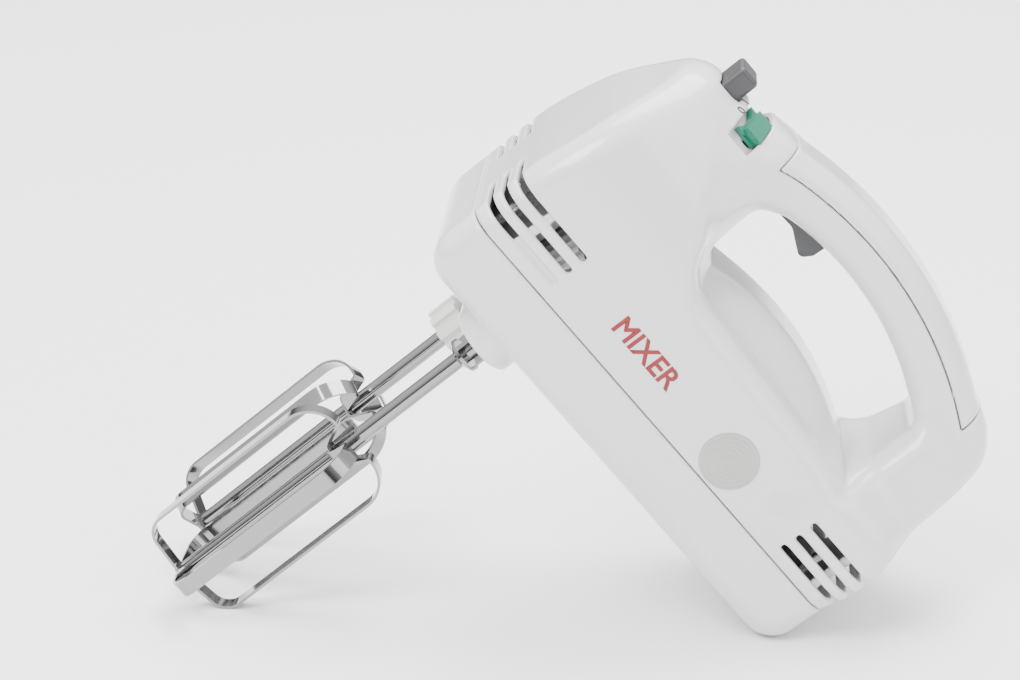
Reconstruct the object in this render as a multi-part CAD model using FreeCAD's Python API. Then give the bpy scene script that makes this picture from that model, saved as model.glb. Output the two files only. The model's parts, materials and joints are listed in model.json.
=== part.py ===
"""Hand mixer with two wire beaters, lying as it is put down: on one beater and on the edge of its heel.

The pieces are drawn in the mixer's own axes, in millimetres: x from the nose to the tail, y across and
z up through the beater sockets, with the underside on z = 0 and the beater axles at x = 0. resting_place() then
tilts the finished mixer on to the floor. In that frame the nose points to -X and up.
"""

import FreeCAD, Part
import math
import os

from FreeCAD import Placement, Rotation, Vector

# ---------------------------------------------------------------- driving dimensions: casing
BODY_WIDTH = 80.0
NOSE_REACH = 40.0          # from the beater axles forward
TAIL_REACH = 148.0         # from the beater axles back to the flat heel
HEAD_HEIGHT = 112.0
BELLY_HEIGHT = 74.0        # crown of the casing under the handle
WALL = 2.5
SEAM_HEIGHT = 24.6         # top edge of the base cover
SEAM_GAP = 0.3
UNDERSIDE_ROUND = 12.0
SIDE_ROUND = 8.0
HANDLE_WIDTH = 32.0
HANDLE_DEPTH = 21.0
HANDLE_CROWN = 124.3       # highest point of the handle
HANDLE_CROWN_X = 62.0
HANDLE_SWEEP = 155.0       # radius of the handle's back
HANDLE_ROUND = 8.0
GRIP_FRONT = 24.0          # the finger opening, front and rear
GRIP_REAR = 120.0
GRIP_SWEEP = 112.0         # radius of the belly's crown under the fingers
CAP_DEPTH = 7.5            # how far the handle cap comes down the sides
CAP_FRONT = 18.0
CAP_REAR = 132.0
NECK_RADIUS = 22.0         # rounded deck under the speed selector
NECK_FRONT = -22.0
NECK_REAR = 16.0
WAIST_HEIGHT = 56.0        # the sides are upright up to here and lean in above
HAUNCH_HEIGHT = 94.0       # where the tail has narrowed to the handle
VENT_HEIGHTS = (31.2, 37.6, 44.0)
VENT_WIDTH = 2.6
VENT_FRONT_END = -4.5      # rear ends of the front slots
VENT_REAR_START = 117.0    # front ends of the rear slots
VENT_NOSE_GAP = 14.5       # half the plain strip down the nose and the heel
VENT_RIB = 3.5
BOSS_DEPTH = 8.0           # oval socket boss under the nose
BOSS_RADIUS = 12.5

# ---------------------------------------------------------------- driving dimensions: beaters
BEATER_SPACING = 42.0
SHAFT_RADIUS = 3.0
ROD_RADIUS = 2.0           # turned-down end that the loops are riveted on
SHAFT_TOP = 30.0
COLLAR_HEIGHT = -15.6
COLLAR_RADIUS = 6.5
FIN_WIDTH = 12.4
FIN_THICKNESS = 1.6
FIN_TOP = -3.0
FIN_BOTTOM = -14.4
LOOP_RADIUS = 21.7
LOOP_TOP = -65.6
LOOP_BOTTOM = -146.5
LOOP_HEAD_DROP = 8.0
LOOP_TIP_DROP = 2.0
LOOP_SHOULDER = 12.5
LOOP_TOE = 7.6
STRIP_WIDTH = 6.2
STRIP_THICKNESS = 1.0
LOOP_ANGLES = {"left": 0.0, "right": 45.0}
FIN_ANGLE = 45.0
BEATER_TRAVEL = 45.0
BOWL_GEAR_RADIUS = 10.0
BOWL_GEAR_BOTTOM = -28.2
BOWL_GEAR_TEETH = 10

# ---------------------------------------------------------------- driving dimensions: drive
DRIVE_HEIGHT = 38.0        # motor shaft above the underside
WORM_RADIUS = 6.5          # pitch radius
WORM_STARTS = 2
WORM_LENGTH = 26.0
WHEEL_TEETH = 26
WHEEL_FACE = 11.0
TOOTH_PLAY = 0.35          # play along the worm between a tooth and its gap
PRESSURE_ANGLE = 20.0
MOTOR_SHAFT_RADIUS = 3.0
WORM_SEAT_RADIUS = 2.5
HUB_RADIUS = 6.0
HUB_TOP = 57.0
CUP_RADIUS = 7.8           # slotted cup that turns the beater
CUP_BOTTOM = -6.5
CUP_TOP = 5.0
BUSH_WALL = 2.0
FRAME_BASE = 9.0
FRAME_THICKNESS = 4.0
FRAME_TOP = 49.0
STACK_FRONT = 46.0
STACK_LENGTH = 24.0
STACK_WIDTH = 58.0
STACK_HEIGHT = 44.0
BORE_RADIUS = 14.4
ROTOR_RADIUS = 13.9
ROTOR_SLOTS = 12
COMMUTATOR_RADIUS = 9.0
COMMUTATOR_BARS = 24
COMMUTATOR_FRONT = 79.0
COMMUTATOR_LENGTH = 13.0
REAR_BRACKET = 96.0        # front face of the strap that holds the rear bearing
BRACKET_THICKNESS = 6.0
FAN_FRONT = 106.0
FAN_WIDTH = 9.0
FAN_RADIUS = 21.0
FAN_BLADES = 10
FRAME_X = (-24.0, 28.0)    # gearbox frame, front and rear
FRAME_HALF = 33.0
FRAME_WALL = 6.0
FRONT_BEARING_RADIUS = 6.5
MIDDLE_BEARING_RADIUS = 8.0
REAR_BEARING_RADIUS = 7.0
MOTOR_BOLTS = ((25.0, 53.5), (-25.0, 22.5))
COIL_REACH = 21.0
COIL_DEPTH = 6.5
COIL_END = 7.0
CHEEK_Y = (22.0, 28.0)
BRUSH = (6.0, 5.0, 11.0)
BRUSH_BACK = 7.5           # brush behind the commutator's front
CLIP_Z = 53.2
CLIP_RADIUS = 5.0
CLIP_THICKNESS = 1.0
DETENT_Z = 20.0
DETENT_RADIUS = 5.0
DETENT_THICKNESS = 1.6

# ---------------------------------------------------------------- driving dimensions: controls
EJECT_TRAVEL = 8.0
BUTTON_X = -12.4
BUTTON_LENGTH = 8.6
BUTTON_WIDTH = 15.0
BUTTON_TOP = 121.0
BUTTON_SKIRT = 102.0
BUTTON_FLANGE = (102.0, 104.0)
FLANGE_LENGTH = 14.0
EJECTOR_BOTTOM = 66.0
EJECTOR_HEIGHT = 8.0
PIN_HEAD_RADIUS = 5.0
SPRING_WIRE = 0.9
SELECTOR_FRONT = -4.0
SELECTOR_REAR = 5.2
SELECTOR_REST = -30.0      # degrees from upright, negative towards the near side
SELECTOR_TURN = 66.0
SELECTOR_SKIN = 1.6
TRIGGER_WIDTH = 12.0
TRIGGER_PIVOT = (33.0, 107.0)
TRIGGER_TURN = 10.0
INLET_DROP = 36.25         # inlet below the top of the heel
INLET_BORE = 3.6
INLET_BARREL = 6.5
SHELF = (83.0, 86.0)       # spring's shelf under the button
STEM = (6.0, 6.0)
WEB_X = (2.1, 4.9)
WEB_HALF_ANGLE = 9.0
LUG_X = ((-2.5, 0.3), (7.0, 10.0))
PIVOT_RADIUS = 1.6
SCOOP_RADIUS = 9.0
SCOOP_DEPTH = 2.4
PLATE_ANGLES = (-13.0, 15.0)
GRIP_ANGLES = (-11.0, 11.0)
GRIP_RISE = 5.6
TRIGGER_SLOT = (29.6, 53.6)
PULSE_HALF = 4.0
BOARD_X = (118.0, 143.0)
BOARD_HALF = 22.0
BOARD_HEIGHT = 46.0
LABEL_RADIUS = 10.5
LABEL_THICKNESS = 0.25
LABEL_AT = (81.6, 36.2)

# ---------------------------------------------------------------- driving dimensions: fixings
HOUSING_SCREWS = ((-31.0, 27.0), (133.0, 28.0))
FRAME_SCREWS = (-14.0, 14.0)
POST_RADIUS = 5.0
PILLAR_RADIUS = 4.0
SCREW_RADIUS = 1.75
SCREW_HEAD_RADIUS = 3.4
SCREW_HEAD_HEIGHT = 2.6
HEAD_RECESS = 5.5

# ---------------------------------------------------------------- clearances
RUN = 0.06                 # shaft in its bearing, radial
SLIDE = 0.35               # a button or slide in its opening
FIT = 0.15                 # between fixed mouldings
SEAT = 0.05                # between a piece and the pocket that locates it
BLADE_PLAY = 0.4           # fin in its slot

HALF = BEATER_SPACING / 2
SIDES = {"right": 1, "left": -1}
WHEEL_RADIUS = HALF - WORM_RADIUS
MODULE = 2 * WHEEL_RADIUS / WHEEL_TEETH
LEAD = WORM_STARTS * math.pi * MODULE
ADDENDUM = 0.9 * MODULE
DEDENDUM = 1.2 * MODULE
NECK_AXIS = HEAD_HEIGHT - NECK_RADIUS
SOCKET_BORE = CUP_RADIUS + 0.8
SOCKET_WALL = 2.0
STEM_X = BUTTON_X
PIN_RADIUS = SHAFT_RADIUS - SEAT
HEEL_TOP = HANDLE_CROWN - HANDLE_SWEEP + math.sqrt(HANDLE_SWEEP ** 2 - (TAIL_REACH - HANDLE_CROWN_X) ** 2)
INLET_HEIGHT = HEEL_TOP - INLET_DROP


# ---------------------------------------------------------------- small helpers
def cylinder(radius, start, end, at=(0.0, 0.0), axis="z"):
    """A round bar along an axis; at gives the other two coordinates in x, y, z order."""
    low, high = min(start, end), max(start, end)
    base = {"x": (low, at[0], at[1]), "y": (at[0], low, at[1]), "z": (at[0], at[1], low)}[axis]
    along = {"x": (1, 0, 0), "y": (0, 1, 0), "z": (0, 0, 1)}[axis]
    return Part.makeCylinder(radius, high - low, Vector(*base), Vector(*along))


def tube(outer, inner, start, end, at=(0.0, 0.0), axis="z"):
    return cylinder(outer, start, end, at, axis).cut(cylinder(inner, start - 1, end + 1, at, axis))


def block(x, y, z):
    """A box from three (low, high) pairs."""
    size = [pair[1] - pair[0] for pair in (x, y, z)]
    return Part.makeBox(*size, Vector(x[0], y[0], z[0]))


def join(*shapes):
    return shapes[0].multiFuse(list(shapes[1:])).removeSplitter()


def cut(shape, *tools):
    for tool in tools:
        shape = shape.cut(tool)
    return shape


def mirror(shape):
    """The same piece on the other side of the mixer."""
    return shape.mirror(Vector(0, 0, 0), Vector(0, 1, 0))


def both(shape):
    return Part.makeCompound([shape, mirror(shape)])


def turned(shape, degrees, centre, axis):
    copy = shape.copy()
    copy.rotate(Vector(*centre), Vector(*axis), degrees)
    return copy


def round_edges(shape, radius, chosen):
    edges = [edge for edge in shape.Edges if chosen(edge)]
    return shape.makeFillet(radius, edges)


def rounded_wire(corners, lift):
    """A closed outline through (a, b, radius) corners, each rounded by a tangent arc."""
    count = len(corners)
    ends = []
    for i, (a, b, radius) in enumerate(corners):
        here = Vector(a, b, 0)
        to_last = (Vector(*corners[i - 1][:2], 0) - here).normalize()
        to_next = (Vector(*corners[(i + 1) % count][:2], 0) - here).normalize()
        if radius == 0:
            ends.append((here, None, here))
            continue
        half = to_last.getAngle(to_next) / 2
        reach = radius / math.tan(half)
        middle = (to_last + to_next).normalize() * (radius / math.sin(half) - radius)
        ends.append((here + to_last * reach, here + middle, here + to_next * reach))
    edges = []
    for i, (start, middle, end) in enumerate(ends):
        if middle is not None:
            edges.append(Part.Arc(lift(start), lift(middle), lift(end)).toShape())
        following = ends[(i + 1) % count][0]
        if end.distanceToPoint(following) > 1e-6:
            edges.append(Part.LineSegment(lift(end), lift(following)).toShape())
    return Part.Wire(edges)


def side_face(corners):
    """A flat face in the mixer's middle plane from (x, z, radius) corners."""
    return Part.Face(rounded_wire(corners, lambda p: Vector(p.x, 0, p.y)))


def across(face, width, middle=0.0):
    """The face, drawn out sideways to a width."""
    moved = face.copy()
    moved.translate(Vector(0, middle - width / 2, 0))
    return moved.extrude(Vector(0, width, 0))


def plan_prism(corners, low, high):
    """An upright block from (x, y, radius) corners."""
    face = Part.Face(rounded_wire(corners, lambda p: Vector(p.x, p.y, low)))
    return face.extrude(Vector(0, 0, high - low))


def rounded_box(x, y, z, radius):
    """A box whose upright edges are rounded."""
    corners = [(x[0], y[0], radius), (x[1], y[0], radius), (x[1], y[1], radius), (x[0], y[1], radius)]
    return plan_prism(corners, z[0], z[1])


def coil(radius, wire, low, high, turns, at):
    """A compression spring standing on z = low."""
    height = high - low - wire
    path = Part.makeHelix(height / turns, height, radius)
    ring = Part.Wire(Part.makeCircle(wire / 2, Vector(radius, 0, 0), Vector(0, 1, 0)))
    spring = Part.Wire(path).makePipeShell([ring], True, True)
    spring.translate(Vector(at[0], at[1], low + wire / 2))
    return spring


# ---------------------------------------------------------------- the casing's outer form
def body_corners():
    """Side outline of the wide body, from the underside of the nose round to the heel."""
    return [
        (-NOSE_REACH, 0, UNDERSIDE_ROUND),
        (-NOSE_REACH, 52, 80),
        (-NOSE_REACH + 4.6, 80, 80),
        (-NOSE_REACH + 13.5, HEAD_HEIGHT - 1.5, 9),
        (-5, HEAD_HEIGHT, 10),
        (GRIP_FRONT + 5, BELLY_HEIGHT - 9, 22),
        (TAIL_REACH, BELLY_HEIGHT - 14, 10),
        (TAIL_REACH, 0, UNDERSIDE_ROUND),
    ]


def arc_height(x, crown_x, crown_z, sweep):
    return crown_z - sweep + math.sqrt(sweep ** 2 - (x - crown_x) ** 2)


def arch(front, rear, crown_z, sweep, floor):
    """A face under a long arc, down to a level floor."""
    def height(x):
        return arc_height(x, HANDLE_CROWN_X, crown_z, sweep)

    middle = (front + rear) / 2
    a, b, c = (Vector(x, 0, height(x)) for x in (front, middle, rear))
    d, e = Vector(rear, 0, floor), Vector(front, 0, floor)
    edges = [Part.Arc(a, b, c).toShape()]
    edges += [Part.LineSegment(p, q).toShape() for p, q in ((c, d), (d, e), (e, a))]
    return Part.Face(Part.Wire(edges))


def handle_face(inset):
    """Side outline of the handle with its tail, less the inset all round."""
    back = arch(0, TAIL_REACH - inset, HANDLE_CROWN - inset, HANDLE_SWEEP - inset, inset + UNDERSIDE_ROUND)
    heel = side_face([
        (-60, -60, 0),
        (TAIL_REACH - inset, -60, 0),
        (TAIL_REACH - inset, HANDLE_CROWN - 17, 30 - inset),
        (HANDLE_CROWN_X + 30, HANDLE_CROWN + 8, 0),
        (-60, HANDLE_CROWN + 8, 0),
    ])
    return back.common(heel)


def grip_face(inset):
    """The finger opening, larger all round by the inset."""
    under = arch(GRIP_FRONT - inset, GRIP_REAR + inset, HANDLE_CROWN - HANDLE_DEPTH + inset,
                 HANDLE_SWEEP - HANDLE_DEPTH - 20 + inset, 0)
    crown = arch(GRIP_FRONT - 20, GRIP_REAR + 20, BELLY_HEIGHT - inset, GRIP_SWEEP - inset, 0)
    opening = across(under.cut(crown), 1)
    rims = [edge for edge in opening.Edges if abs(edge.BoundBox.YLength - 1) < 1e-6]
    front = [edge for edge in rims if edge.BoundBox.XMin < HANDLE_CROWN_X]
    rear = [edge for edge in rims if edge.BoundBox.XMin > HANDLE_CROWN_X]
    opening = opening.makeFillet(9.0 + inset, front)
    rear = [edge for edge in opening.Edges
            if abs(edge.BoundBox.YLength - 1) < 1e-6 and edge.BoundBox.XMin > GRIP_REAR - 1 + inset]
    opening = opening.makeFillet(6.0 + inset, rear)
    middle = opening.slice(Vector(0, 1, 0), 0)
    return Part.Face(middle)


def outer_form(inset):
    """The casing as one closed form; with an inset it is the hollow inside the wall."""
    outline = side_face(body_corners())
    body = across(outline.makeOffset2D(-inset) if inset else outline, BODY_WIDTH - 2 * inset)

    def runs_along_side(edge):
        return edge.BoundBox.YLength < 1e-3

    body = round_edges(body, SIDE_ROUND - inset, runs_along_side)
    handle = across(handle_face(inset), HANDLE_WIDTH - 2 * inset)
    handle = round_edges(handle, HANDLE_ROUND - inset, runs_along_side)
    crown = HEAD_HEIGHT - NECK_RADIUS
    reach = NECK_RADIUS - inset
    neck = join(
        cylinder(reach, NECK_FRONT, NECK_REAR - inset, (0, crown), "x"),
        block((NECK_FRONT, NECK_REAR - inset), (-reach, reach), (BELLY_HEIGHT, crown)),
    )
    whole = join(body, handle, neck, haunch(inset)).cut(grip_hole(inset))
    return whole.common(section_limit(inset))


def grip_hole(inset):
    """The finger opening, rounded over at both mouths."""
    return across(grip_face(inset), BODY_WIDTH + 2)


def haunch(inset):
    """The tail above the belly, which narrows to the handle."""
    def ring(front, half_width, height):
        corners = [(front + inset, inset - half_width, 6), (TAIL_REACH - inset, inset - half_width, 6),
                   (TAIL_REACH - inset, half_width - inset, 6), (front + inset, half_width - inset, 6)]
        return rounded_wire(corners, lambda p: Vector(p.x, p.y, height))

    foot = ring(GRIP_REAR - 14, BODY_WIDTH / 2 - 4, BELLY_HEIGHT - 30)
    head = ring(GRIP_REAR, HANDLE_WIDTH / 2, HAUNCH_HEIGHT - inset)
    return Part.makeLoft([foot, head], True, True)


def section_limit(inset):
    """The widest the casing gets across: upright sides, then a lean in to the round deck."""
    half, waist = BODY_WIDTH / 2 - inset, WAIST_HEIGHT
    deck = NECK_RADIUS - inset
    rise = NECK_AXIS - waist
    hub = ((half - deck) ** 2 - rise ** 2) / (2 * (half - deck))
    sweep = half - hub
    lean = math.atan2(rise, -hub)
    meet = (hub + sweep * math.cos(lean), waist + sweep * math.sin(lean))
    between = (hub + sweep * math.cos(lean / 2), waist + sweep * math.sin(lean / 2))
    top = NECK_AXIS + deck + 60

    def place(y, z):
        return Vector(-100, y, z)

    edges = []
    for side in (1, -1):
        edges.append(Part.LineSegment(place(side * half, -60), place(side * half, waist)).toShape())
        edges.append(Part.Arc(place(side * half, waist), place(side * between[0], between[1]),
                              place(side * meet[0], meet[1])).toShape())
    edges.append(Part.LineSegment(place(-half, -60), place(half, -60)).toShape())
    edges.append(Part.Arc(place(*meet), place(0, NECK_AXIS + deck), place(-meet[0], meet[1])).toShape())
    wide = Part.Face(Part.Wire(Part.sortEdges(edges)[0])).extrude(Vector(400, 0, 0))
    grip = block((NECK_REAR - 30, 300), about(0, HANDLE_WIDTH / 2), (BELLY_HEIGHT, top))
    return wide.fuse(grip)


# ---------------------------------------------------------------- casing mouldings

def socket_boss():
    """Oval boss round both sockets, with the tubes that carry the gearbox frame."""
    boss = join(
        *[cylinder(BOSS_RADIUS, -BOSS_DEPTH, WALL, (0, side * HALF)) for side in SIDES.values()],
        block((-BOSS_RADIUS, BOSS_RADIUS), (-HALF, HALF), (-BOSS_DEPTH, WALL)),
    )
    lip = [edge for edge in boss.Edges if abs(edge.BoundBox.ZMax + BOSS_DEPTH) < 1e-6]
    boss = boss.makeFillet(2.5, lip)
    tubes = [cylinder(SOCKET_BORE + SOCKET_WALL, 0, FRAME_BASE, (0, side * HALF)) for side in SIDES.values()]
    return join(boss, *tubes)


def base_cover():
    """Lower casing: shallow tray with the socket boss and the screw posts."""
    below = block((-60, 170), (-60, 60), (-1, SEAM_HEIGHT - SEAM_GAP))
    inner = outer_form(WALL).common(below)
    tray = outer_form(0).common(below).cut(inner)
    posts = [cylinder(POST_RADIUS, WALL / 2, SEAM_HEIGHT - SEAM_GAP, (x, side * y))
             for x, y in HOUSING_SCREWS for side in SIDES.values()]
    stands = [cylinder(POST_RADIUS, WALL / 2, FRAME_BASE, (x, 0)) for x in FRAME_SCREWS]
    supports = Part.makeCompound([*posts, *stands]).common(outer_form(WALL / 2))
    cover = join(tray, socket_boss(), *supports.Solids)
    holes = [cylinder(SOCKET_BORE, -BOSS_DEPTH - 1, FRAME_BASE + 1, (0, side * HALF))
             for side in SIDES.values()]
    for x, y in HOUSING_SCREWS:
        for side in SIDES.values():
            holes.append(cylinder(SCREW_RADIUS + FIT, 0, SEAM_HEIGHT, (x, side * y)))
            holes.append(cylinder(SCREW_HEAD_RADIUS + FIT, -1, HEAD_RECESS, (x, side * y)))
    holes += [cylinder(SCREW_RADIUS, 4, FRAME_BASE + 1, (x, 0)) for x in FRAME_SCREWS]
    return cut(cover, *holes)


def housing_screw(x, y):
    """Self-tapping screw driven up through the base cover."""
    head = cylinder(SCREW_HEAD_RADIUS, HEAD_RECESS - SCREW_HEAD_HEIGHT, HEAD_RECESS, (x, y))
    slot = block((x - 3, x + 3), (y - 0.5, y + 0.5), (HEAD_RECESS - SCREW_HEAD_HEIGHT, HEAD_RECESS - 1.4))
    cross = turned(slot, 90, (x, y, 0), (0, 0, 1))
    return join(head, cylinder(SCREW_RADIUS, HEAD_RECESS, SEAM_HEIGHT + 14, (x, y))).cut(slot).cut(cross)


def frame_screw(x):
    top = FRAME_BASE + FRAME_THICKNESS
    return join(cylinder(SCREW_RADIUS, 4, top, (x, 0)), cylinder(3.2, top, top + 2.2, (x, 0)))


def vent_slot(front, rear, height):
    """One vent band with a round end, drawn through both side walls."""
    half = VENT_WIDTH / 2
    band = block((front, rear), (-60, 60), (height - half, height + half))
    end = rear if rear < 0 else front
    return band.fuse(cylinder(half, -60, 60, (end, height), "y"))


def vents():
    """All slots: three a side at the nose and three a side at the heel, wrapping round the corners."""
    strip = block((-90, 200), (-VENT_NOSE_GAP, VENT_NOSE_GAP), (0, 80))
    slots = []
    for height in VENT_HEIGHTS:
        slots.append(vent_slot(-60, VENT_FRONT_END, height).cut(strip))
        slots.append(vent_slot(VENT_REAR_START, 160, height).cut(strip))
    return slots


def vent_ribs():
    """Upright ribs behind the slots, which tie the bars together."""
    low, high = VENT_HEIGHTS[0] - 4, VENT_HEIGHTS[-1] + 4
    depth = (BODY_WIDTH / 2 - WALL - 1, BODY_WIDTH / 2 - WALL / 2)
    ribs = [block((x, x + VENT_RIB), depth, (low, high)) for x in (-25.0, 135.0)]
    return [rib for one in ribs for rib in (one, mirror(one))]


def cap_cutter(grow):
    """Space of the strip along the handle's back."""
    over = arch(CAP_FRONT - grow, CAP_REAR + grow, HANDLE_CROWN + 6, HANDLE_SWEEP + 6, BELLY_HEIGHT)
    under = arch(CAP_FRONT - 20, CAP_REAR + 15, HANDLE_CROWN - CAP_DEPTH - grow,
                 HANDLE_SWEEP - CAP_DEPTH - grow, BELLY_HEIGHT - 5)
    return across(over.cut(under), HANDLE_WIDTH + 10)


def handle_cap(outer, inner):
    return outer.cut(inner).common(cap_cutter(0))


def selector_channel():
    """Room over the deck for the selector, and the window for its web."""
    front, rear = SELECTOR_FRONT - SLIDE, SELECTOR_REAR + SLIDE
    ring = sector(NECK_RADIUS, NECK_RADIUS + 14, front, rear,
                  SELECTOR_REST - 23, SELECTOR_REST + SELECTOR_TURN + 35)
    start = SELECTOR_REST - WEB_HALF_ANGLE - 3
    end = SELECTOR_REST + SELECTOR_TURN + WEB_HALF_ANGLE + 3
    window = sector(NECK_RADIUS - WALL - 3, NECK_RADIUS + 2, WEB_X[0] - SLIDE, WEB_X[1] + SLIDE, start, end)
    return [ring, window]


def sector(inner, outer, front, rear, start, end):
    """Part of a tube about the deck's axis, from one angle off upright to another."""
    body = Part.makeCylinder(outer, rear - front, Vector(front, 0, NECK_AXIS), Vector(1, 0, 0), end - start)
    body = body.cut(cylinder(inner, front - 1, rear + 1, (0, NECK_AXIS), "x"))
    body.rotate(Vector(0, 0, NECK_AXIS), Vector(1, 0, 0), -end)
    return body


def upper_housing(outer, inner):
    """Main casing with the handle: everything above the seam apart from the handle's cap."""
    above = block((-60, 170), (-60, 60), (SEAM_HEIGHT, 140))
    shell = cut(outer.common(above).cut(inner), *vents())
    posts = [cylinder(POST_RADIUS, SEAM_HEIGHT, 130, (x, side * y))
             for x, y in HOUSING_SCREWS for side in SIDES.values()]
    shelf = block((-30, -5), (-60, 60), SHELF)
    lugs = [block(x, (-3, 3), (NECK_AXIS - 5.5, HEAD_HEIGHT)) for x in LUG_X]
    bridge = block((35.5, 40.5), (-20, 20), (111, 113))
    switch_ledges = [block((42, 53), pair, (112, 115)) for pair in ((PULSE_HALF, 20), (-20, -PULSE_HALF))]
    board_ledges = [block(BOARD_X, pair, (BOARD_HEIGHT - 2, BOARD_HEIGHT))
                    for pair in ((BOARD_HALF - 2, 40), (-40, 2 - BOARD_HALF))]
    pivot = cylinder(3.2, TRIGGER_WIDTH / 2 + 0.6, HANDLE_WIDTH / 2, TRIGGER_PIVOT, "y")
    fittings = [*posts, shelf, *lugs, bridge, *switch_ledges, *board_ledges, pivot, mirror(pivot)]
    inside = Part.makeCompound(fittings).common(inner)
    housing = join(shell, *inside.Solids)
    holes = [cylinder(SCREW_RADIUS, SEAM_HEIGHT - 1, SEAM_HEIGHT + 15, (x, side * y))
              for x, y in HOUSING_SCREWS for side in SIDES.values()]
    holes.append(button_prism(SLIDE, SHELF[1] + 4, HEAD_HEIGHT + 20))
    holes.append(block(about(STEM_X, STEM[0] / 2 + SLIDE), about(0, STEM[1] / 2 + SLIDE), (70, 90)))
    holes += selector_channel()
    holes.append(cylinder(PIVOT_RADIUS, LUG_X[0][0] - 1, LUG_X[1][1] + 1, (0, NECK_AXIS), "x"))
    holes.append(cylinder(PIVOT_RADIUS, *about(0, HANDLE_WIDTH / 2 - WALL), TRIGGER_PIVOT, "y"))
    holes.append(block(TRIGGER_SLOT, about(0, TRIGGER_WIDTH / 2 + SLIDE), (90, 108)))
    holes.append(cylinder(INLET_BARREL, TAIL_REACH - 10, TAIL_REACH + 1, (0, INLET_HEIGHT), "x"))
    holes.append(cap_cutter(FIT))
    housing = cut(housing, *holes)
    housing = join(housing, *vent_ribs())
    return max(housing.Solids, key=lambda solid: solid.Volume)


def about(middle, half):
    return (middle - half, middle + half)


def cord_inlet():
    """Bush in the heel that the supply lead enters by."""
    flange = cylinder(INLET_BARREL + 2, TAIL_REACH - WALL - 2, TAIL_REACH - WALL, (0, INLET_HEIGHT), "x")
    barrel = cylinder(INLET_BARREL, TAIL_REACH - WALL, TAIL_REACH, (0, INLET_HEIGHT), "x")
    return join(flange, barrel).cut(cylinder(INLET_BORE, TAIL_REACH - 20, TAIL_REACH + 5, (0, INLET_HEIGHT), "x"))


def side_label():
    """Thin round sticker on the near side."""
    disc = cylinder(LABEL_RADIUS, -BODY_WIDTH / 2 - LABEL_THICKNESS, -BODY_WIDTH / 2, LABEL_AT, "y")
    return disc


# ---------------------------------------------------------------- beaters
def hoop(head, tip, angle, side):
    """One bent strip: flat over the head and the tip, round at the shoulders and the toes."""
    radius = LOOP_RADIUS
    flat, rise = 4.2, 8.0
    corners = [
        (-flat, head, 1.2), (-rise, LOOP_TOP, 1.2),
        (-radius, LOOP_TOP, LOOP_SHOULDER), (-radius, LOOP_BOTTOM, LOOP_TOE),
        (-flat, tip, 1.2), (flat, tip, 1.2),
        (radius, LOOP_BOTTOM, LOOP_TOE), (radius, LOOP_TOP, LOOP_SHOULDER),
        (rise, LOOP_TOP, 1.2), (flat, head, 1.2),
    ]
    face = side_face(corners)
    strip = across(face, STRIP_WIDTH).cut(across(face.makeOffset2D(-STRIP_THICKNESS), STRIP_WIDTH + 1))
    strip = strip.cut(cylinder(ROD_RADIUS, tip - 1, head + 1))
    strip.rotate(Vector(0, 0, 0), Vector(0, 0, 1), angle)
    strip.translate(Vector(0, side * HALF, 0))
    return strip


def beater(name, side, angle):
    """Shaft, collar, two crossed strips and the sleeve between their heads and tips."""
    at = (0, side * HALF)
    head = LOOP_TOP - LOOP_HEAD_DROP
    tip = LOOP_BOTTOM - LOOP_TIP_DROP
    step = STRIP_THICKNESS + SEAT
    shaft = join(
        cylinder(SHAFT_RADIUS, head, SHAFT_TOP, at),
        cylinder(ROD_RADIUS, tip, head, at),
        cylinder(SHAFT_RADIUS, tip - 1.0, tip, at),
    )
    top = [edge for edge in shaft.Edges if abs(edge.BoundBox.ZMin - SHAFT_TOP) < 1e-6]
    shaft = shaft.makeChamfer(0.6, top)
    for turn in (0, 90):
        fin = block(about(0, FIN_WIDTH / 2), about(0, FIN_THICKNESS / 2), (FIN_BOTTOM, FIN_TOP))
        fin.rotate(Vector(0, 0, 0), Vector(0, 0, 1), turn + FIN_ANGLE)
        fin.translate(Vector(0, at[1], 0))
        shaft = shaft.fuse(fin)
    collar = join(
        cylinder(COLLAR_RADIUS, COLLAR_HEIGHT, FIN_BOTTOM, at),
        Part.makeCone(4.2, COLLAR_RADIUS, 1.6, Vector(at[0], at[1], COLLAR_HEIGHT - 1.6)),
    ).cut(cylinder(SHAFT_RADIUS, -40, 0, at))
    sleeve = tube(SHAFT_RADIUS, ROD_RADIUS, tip + STRIP_THICKNESS + step, head - STRIP_THICKNESS - step, at)
    return {
        f"beater_shaft_{name}": shaft.removeSplitter(),
        f"beater_collar_{name}": collar,
        f"beater_outer_loop_{name}": hoop(head, tip, angle, side),
        f"beater_inner_loop_{name}": hoop(head - step, tip + step, angle + 90, side),
        f"beater_sleeve_{name}": sleeve,
    }


def bowl_gear():
    """Fluted nylon ring under one collar, which turns a bowl on a stand."""
    at = (0, HALF)
    ring = cylinder(BOWL_GEAR_RADIUS, BOWL_GEAR_BOTTOM, COLLAR_HEIGHT - 1.6, at)
    for i in range(BOWL_GEAR_TEETH):
        turn = 2 * math.pi * (i + 0.5) / BOWL_GEAR_TEETH
        groove = (BOWL_GEAR_RADIUS * math.cos(turn), at[1] + BOWL_GEAR_RADIUS * math.sin(turn))
        ring = ring.cut(cylinder(1.7, BOWL_GEAR_BOTTOM - 1, 0, groove))
    return ring.cut(cylinder(SHAFT_RADIUS, -40, 0, at))


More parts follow.
